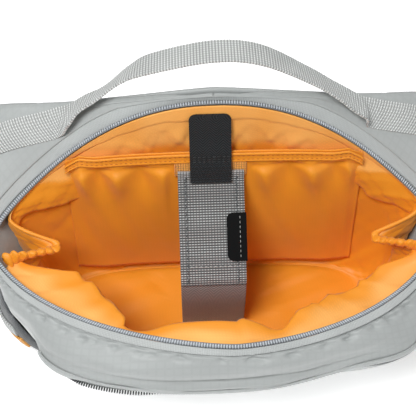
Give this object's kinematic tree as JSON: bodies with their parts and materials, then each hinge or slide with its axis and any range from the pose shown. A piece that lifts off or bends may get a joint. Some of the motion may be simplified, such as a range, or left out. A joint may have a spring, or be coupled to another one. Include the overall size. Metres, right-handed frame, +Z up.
{
  "type": "hip pack",
  "caption": "Hip pack of light grey nylon with padded belt wings, webbing carry handle, orange lining and a wide holding strap, its zipped main compartment standing open.",
  "frame": {"origin": "middle of the flat bottom of the pack, on the surface it stands on", "axes": "+Z up, +X to the right of someone facing the front, +Y from the front towards the wearer"},
  "size_m": [0.528, 0.253, 0.2113],
  "materials": {
    "shell_cloth": "light grey nylon ripstop",
    "lining_cloth": "orange coated nylon ripstop",
    "orange_webbing": "ribbed orange webbing",
    "zip_tape": "woven grey polyester",
    "zip_coil": "grey nylon coil",
    "dark_coil": "dark nylon coil",
    "grey_webbing": "light grey woven webbing",
    "strap_webbing": "ribbed grey webbing",
    "black_webbing": "black herringbone webbing",
    "black_patch": "matt black coated patch",
    "stretch_cloth": "dark stretch cloth",
    "belt_webbing": "dark grey woven webbing",
    "buckle_plastic": "black moulded plastic"
  },
  "bodies": {
    "root": {"body_shell": "shell_cloth", "back_panel": "shell_cloth", "wing_left": "shell_cloth", "wing_right": "shell_cloth", "shoulder_left": "shell_cloth", "shoulder_right": "shell_cloth", "front_pocket": "shell_cloth", "lining": "lining_cloth", "inner_sleeve": "lining_cloth", "sleeve_binding": "lining_cloth", "gusset_elastic_left": "orange_webbing", "gusset_elastic_right": "orange_webbing", "cross_tab": "orange_webbing", "side_tab_left": "orange_webbing", "side_tab_right": "orange_webbing", "zip_tape_rear": "zip_tape", "zip_tape_front": "zip_tape", "pocket_zip_tape": "zip_tape", "zip_coil_rear": "zip_coil", "zip_coil_front": "zip_coil", "zip_slider_left": "zip_coil", "zip_slider_right": "zip_coil", "pocket_zip_coil": "dark_coil", "pocket_slider": "dark_coil", "side_zip_left": "dark_coil", "side_zip_right": "dark_coil", "carry_handle": "grey_webbing", "side_strap_left": "grey_webbing", "side_strap_right": "grey_webbing", "holding_strap": "strap_webbing", "strap_underlayer": "strap_webbing", "closure_tab": "black_webbing", "strap_label": "black_patch", "side_pocket_left": "stretch_cloth", "side_pocket_right": "stretch_cloth", "belt_strap_left": "belt_webbing", "belt_strap_right": "belt_webbing", "belt_buckle": "buckle_plastic"}
  },
  "joints": []
}
